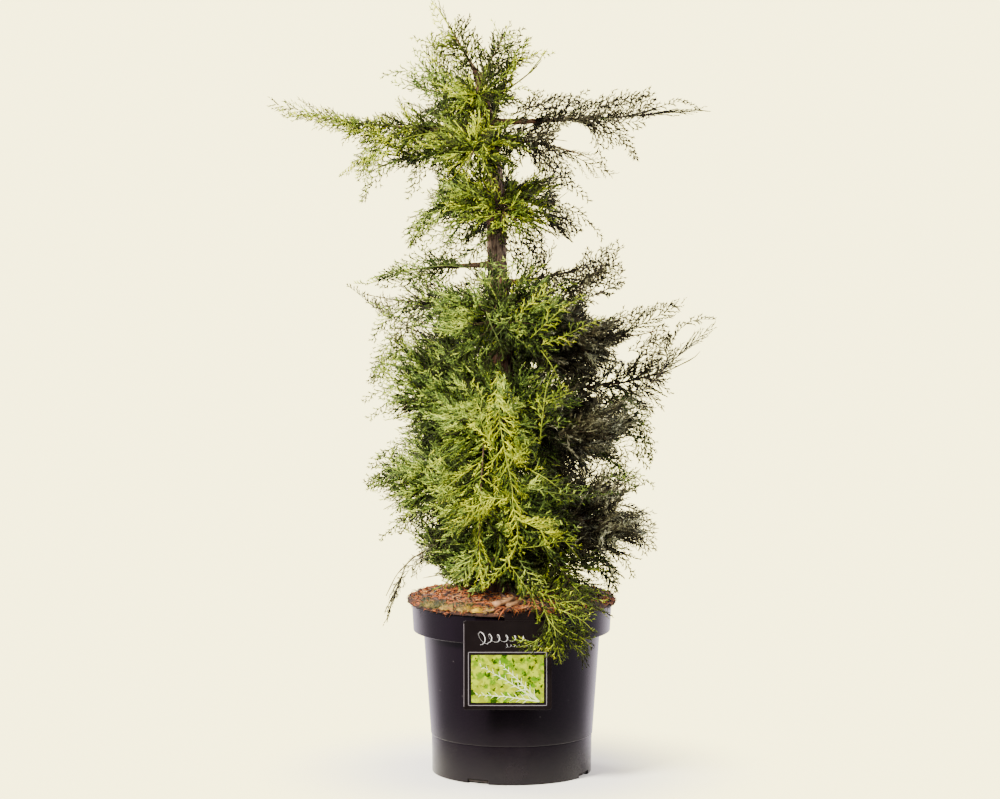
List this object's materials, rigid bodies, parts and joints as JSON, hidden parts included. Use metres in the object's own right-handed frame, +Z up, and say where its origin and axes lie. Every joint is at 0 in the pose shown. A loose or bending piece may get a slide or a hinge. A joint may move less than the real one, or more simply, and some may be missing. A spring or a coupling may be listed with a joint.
{
  "type": "potted spiral juniper",
  "caption": "Juniper trained as a spiral round one leaning trunk and grown out feathery, in a round nursery pot with mulch and a hanging plant label; stands on a patio or by a door.",
  "frame": {"origin": "centre of the pot's flat underside", "axes": "+Z up along the trunk, -Y towards the front, where the plant label hangs, +X to the right of that front"},
  "size_m": [0.6093, 0.3817, 1.0593],
  "materials": {
    "pot": "satin black moulded plastic",
    "soil": "damp dark potting soil",
    "mulch": "loose reddish coir and bark with moss",
    "label": "satin black plastic card",
    "bark": "stringy reddish grey-brown bark",
    "foliage_bright": "fresh yellow-green juniper shoots",
    "foliage_fresh": "mid green juniper sprays",
    "foliage_shaded": "dark grey-green juniper sprays"
  },
  "bodies": {
    "root": {"cascade_bough": "bark", "cascade_foliage": "foliage_bright", "hem_front_foliage": "foliage_fresh", "hem_left_bough": "bark", "hem_left_foliage": "foliage_shaded", "hem_spill_bough": "bark", "hem_spill_foliage": "foliage_bright", "label_card": "label", "label_hanger": "label", "leader_foliage": "foliage_bright", "middle_back_foliage": "foliage_fresh", "middle_front_foliage": "foliage_bright", "middle_left_foliage": "foliage_fresh", "middle_right_foliage": "foliage_shaded", "mulch": "mulch", "pot": "pot", "shoulder_left_bough": "bark", "shoulder_left_foliage": "foliage_fresh", "shoulder_left_low_bough": "bark", "shoulder_left_low_foliage": "foliage_shaded", "shoulder_right_bough": "bark", "shoulder_right_foliage": "foliage_shaded", "soil": "soil", "spiral_01_foliage": "foliage_fresh", "spiral_02_foliage": "foliage_shaded", "spiral_03_foliage": "foliage_shaded", "spiral_04_foliage": "foliage_fresh", "spiral_05_foliage": "foliage_fresh", "spiral_06_foliage": "foliage_fresh", "spiral_07_foliage": "foliage_shaded", "spiral_08_foliage": "foliage_shaded", "spiral_09_foliage": "foliage_fresh", "spiral_10_foliage": "foliage_fresh", "spiral_11_foliage": "foliage_fresh", "spiral_12_foliage": "foliage_shaded", "spiral_13_foliage": "foliage_shaded", "spiral_14_foliage": "foliage_fresh", "spiral_15_foliage": "foliage_fresh", "sweep_right_high_bough": "bark", "sweep_right_high_foliage": "foliage_shaded", "sweep_right_low_bough": "bark", "sweep_right_low_foliage": "foliage_shaded", "top_back_foliage": "foliage_fresh", "top_front_foliage": "foliage_bright", "top_left_foliage": "foliage_fresh", "top_right_foliage": "foliage_bright", "top_upright_foliage": "foliage_bright", "trunk": "bark", "upper_back_left_foliage": "foliage_fresh", "upper_back_right_foliage": "foliage_shaded", "upper_front_foliage": "foliage_bright", "upper_left_bough": "bark", "upper_left_foliage": "foliage_bright", "upper_left_low_bough": "bark", "upper_left_low_foliage": "foliage_fresh", "upper_right_bough": "bark", "upper_right_foliage": "foliage_shaded", "upper_right_low_bough": "bark", "upper_right_low_foliage": "foliage_shaded"}
  },
  "joints": []
}
